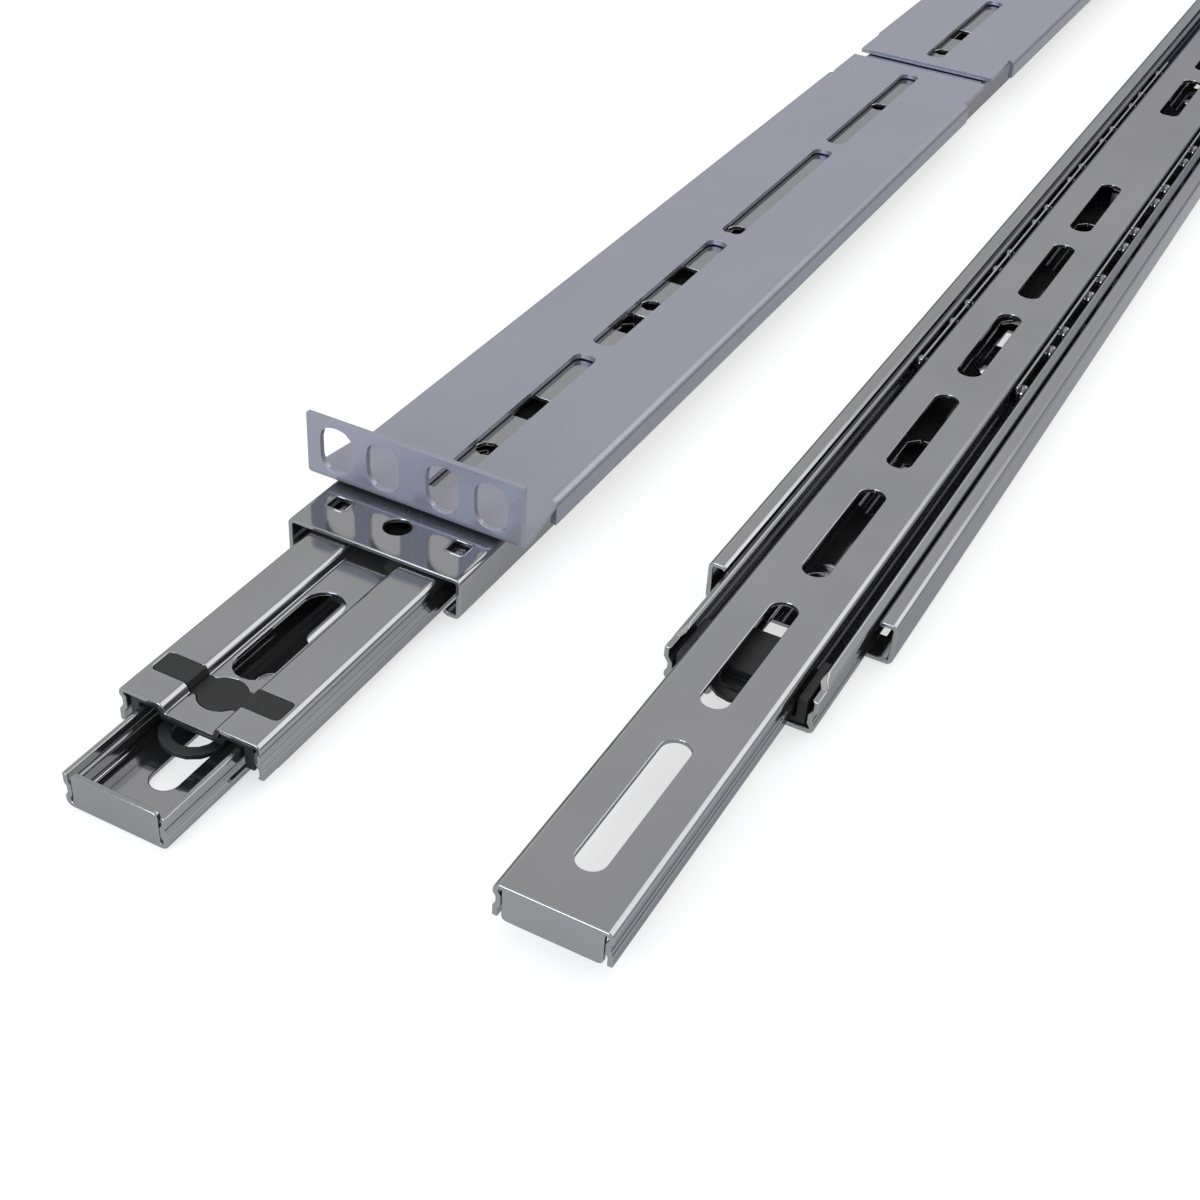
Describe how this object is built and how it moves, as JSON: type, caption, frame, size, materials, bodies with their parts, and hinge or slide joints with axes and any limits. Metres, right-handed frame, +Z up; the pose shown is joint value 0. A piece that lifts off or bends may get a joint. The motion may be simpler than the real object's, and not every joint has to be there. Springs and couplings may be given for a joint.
{
  "type": "sliding server rail pair",
  "caption": "Pair of three-section ball bearing slide rails for a server rack, one in slotted, eared post brackets, each partly pulled out.",
  "frame": {"origin": "middle of the pair's bounding box, on the surface that both rails lie on", "axes": "+Y along the rails towards the back of the rack, +X across the pair from the left rail to the right one, +Z up"},
  "size_m": [0.1388, 0.7864, 0.0304],
  "materials": {
    "outer_steel": "bright zinc plated roll-formed steel",
    "middle_steel": "bright zinc plated roll-formed steel",
    "inner_steel": "bright zinc plated roll-formed steel",
    "cage_steel": "bright steel strip and balls",
    "bumper_plastic": "black moulded plastic",
    "lever_steel": "plain spring steel",
    "bracket_steel": "satin zinc plated steel"
  },
  "bodies": {
    "base": {"left_outer_member": "outer_steel", "right_outer_member": "outer_steel"},
    "left_front_bracket": {"left_front_bracket": "bracket_steel"},
    "left_rear_bracket": {"left_rear_bracket": "bracket_steel"},
    "left_middle": {"left_middle_member": "middle_steel", "left_front_bumper": "bumper_plastic"},
    "left_inner": {"left_inner_member": "inner_steel"},
    "left_outer_cage": {"left_outer_ball_cage_a": "cage_steel", "left_outer_ball_cage_b": "cage_steel"},
    "left_inner_cage": {"left_inner_ball_cage_a": "cage_steel", "left_inner_ball_cage_b": "cage_steel"},
    "left_lever": {"left_release_lever": "lever_steel"},
    "right_middle": {"right_middle_member": "middle_steel", "right_front_bumper": "bumper_plastic"},
    "right_inner": {"right_inner_member": "inner_steel"},
    "right_outer_cage": {"right_outer_ball_cage_a": "cage_steel", "right_outer_ball_cage_b": "cage_steel"},
    "right_inner_cage": {"right_inner_ball_cage_a": "cage_steel", "right_inner_ball_cage_b": "cage_steel"},
    "right_lever": {"right_release_lever": "lever_steel"}
  },
  "joints": [
    {"name": "left_middle_slide", "type": "slide", "parent": "base", "child": "left_middle", "axis": [0, -1, 0], "range_m": [-0.0643, 0.2657]},
    {"name": "left_inner_slide", "type": "slide", "parent": "left_middle", "child": "left_inner", "axis": [0, -1, 0], "range_m": [-0.0156, 0.3074]},
    {"name": "left_outer_cage_slide", "type": "slide", "parent": "base", "child": "left_outer_cage", "axis": [0, -1, 0], "range_m": [-0.03215, 0.13285]},
    {"name": "left_inner_cage_slide", "type": "slide", "parent": "left_middle", "child": "left_inner_cage", "axis": [0, -1, 0], "range_m": [-0.0078, 0.1537]},
    {"name": "left_lever_pivot", "type": "hinge", "parent": "left_inner", "child": "left_lever", "pos_m": [-0.04063, 0.03775, 0.00357], "axis": [0, 0, 1], "range_deg": [-7, 7], "stiffness_Nm_per_rad": 0.05},
    {"name": "right_middle_slide", "type": "slide", "parent": "base", "child": "right_middle", "axis": [0, -1, 0], "range_m": [-0.0325, 0.2975]},
    {"name": "right_inner_slide", "type": "slide", "parent": "right_middle", "child": "right_inner", "axis": [0, -1, 0], "range_m": [-0.0728, 0.2502]},
    {"name": "right_outer_cage_slide", "type": "slide", "parent": "base", "child": "right_outer_cage", "axis": [0, -1, 0], "range_m": [-0.01625, 0.14875]},
    {"name": "right_inner_cage_slide", "type": "slide", "parent": "right_middle", "child": "right_inner_cage", "axis": [0, -1, 0], "range_m": [-0.0364, 0.1251]},
    {"name": "right_lever_pivot", "type": "hinge", "parent": "right_inner", "child": "right_lever", "pos_m": [0.04648, 0.05195, 0.0095], "axis": [0, 0, 1], "range_deg": [-7, 7], "stiffness_Nm_per_rad": 0.05},
    {"name": "left_front_bracket_slide", "type": "slide", "parent": "base", "child": "left_front_bracket", "axis": [0, 1, 0], "range_m": [-0.0164, 0.007]},
    {"name": "left_rear_bracket_slide", "type": "slide", "parent": "base", "child": "left_rear_bracket", "axis": [0, 1, 0], "range_m": [0, 0.068]}
  ],
  "couplings": [
    {"joint": "left_outer_cage_slide", "follows": "left_middle_slide", "ratio": 0.5},
    {"joint": "left_inner_cage_slide", "follows": "left_inner_slide", "ratio": 0.5},
    {"joint": "right_outer_cage_slide", "follows": "right_middle_slide", "ratio": 0.5},
    {"joint": "right_inner_cage_slide", "follows": "right_inner_slide", "ratio": 0.5}
  ]
}
